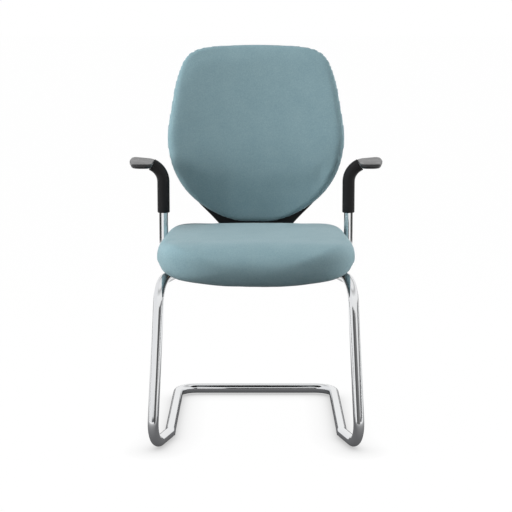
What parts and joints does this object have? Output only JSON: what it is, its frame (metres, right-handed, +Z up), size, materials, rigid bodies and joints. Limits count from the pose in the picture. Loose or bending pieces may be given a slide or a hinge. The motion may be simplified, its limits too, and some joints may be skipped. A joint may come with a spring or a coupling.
{
  "type": "cantilever conference chair",
  "caption": "Cantilever conference chair with a bent chrome tube frame, upholstered seat and rounded back on a black neck, and short black armrests.",
  "frame": {"origin": "on the floor under the middle of the chair's overall box", "axes": "+Z up, the chair faces -Y, +X to the right in a view of its front"},
  "size_m": [0.6224, 0.6029, 0.918],
  "materials": {
    "chrome_tube": "polished",
    "black_plastic": "satin",
    "glide_plastic": "matte",
    "dark_steel": "satin",
    "zinc_steel": "zinc plated",
    "plywood": "raw",
    "teal_fabric": "fine woven, matte",
    "foam": "open cell"
  },
  "bodies": {
    "base": {"floor_frame": "chrome_tube", "glide_front_left": "glide_plastic", "glide_front_right": "glide_plastic", "glide_rear_left": "glide_plastic", "glide_rear_right": "glide_plastic"},
    "seat_unit": {"leg_rail_left": "chrome_tube", "leg_rail_right": "chrome_tube", "rail_plug_left": "black_plastic", "rail_plug_right": "black_plastic", "front_cross_plate": "dark_steel", "rear_cross_plate": "dark_steel", "seat_pan": "black_plastic", "seat_board": "plywood", "seat_tee_nuts": "zinc_steel", "seat_bolts": "zinc_steel", "bracket_bolts": "zinc_steel", "seat_foam": "foam", "seat_cover": "teal_fabric", "back_bracket": "dark_steel", "back_bolts": "zinc_steel", "back_panel": "black_plastic", "back_shell": "black_plastic", "back_shell_screws": "zinc_steel", "back_foam": "foam", "back_cover": "teal_fabric", "arm_tube_left": "chrome_tube", "arm_tube_right": "chrome_tube", "arm_sleeve_left": "black_plastic", "arm_sleeve_right": "black_plastic", "arm_pad_left": "black_plastic", "arm_pad_right": "black_plastic", "arm_insert_left": "zinc_steel", "arm_insert_right": "zinc_steel"}
  },
  "joints": [
    {"name": "frame_spring", "type": "hinge", "parent": "base", "child": "seat_unit", "pos_m": [0, -0.28731, 0.07994], "axis": [-1, 0, 0], "range_deg": [-1, 4], "stiffness_Nm_per_rad": 4000, "springref_deg": -0.51}
  ]
}
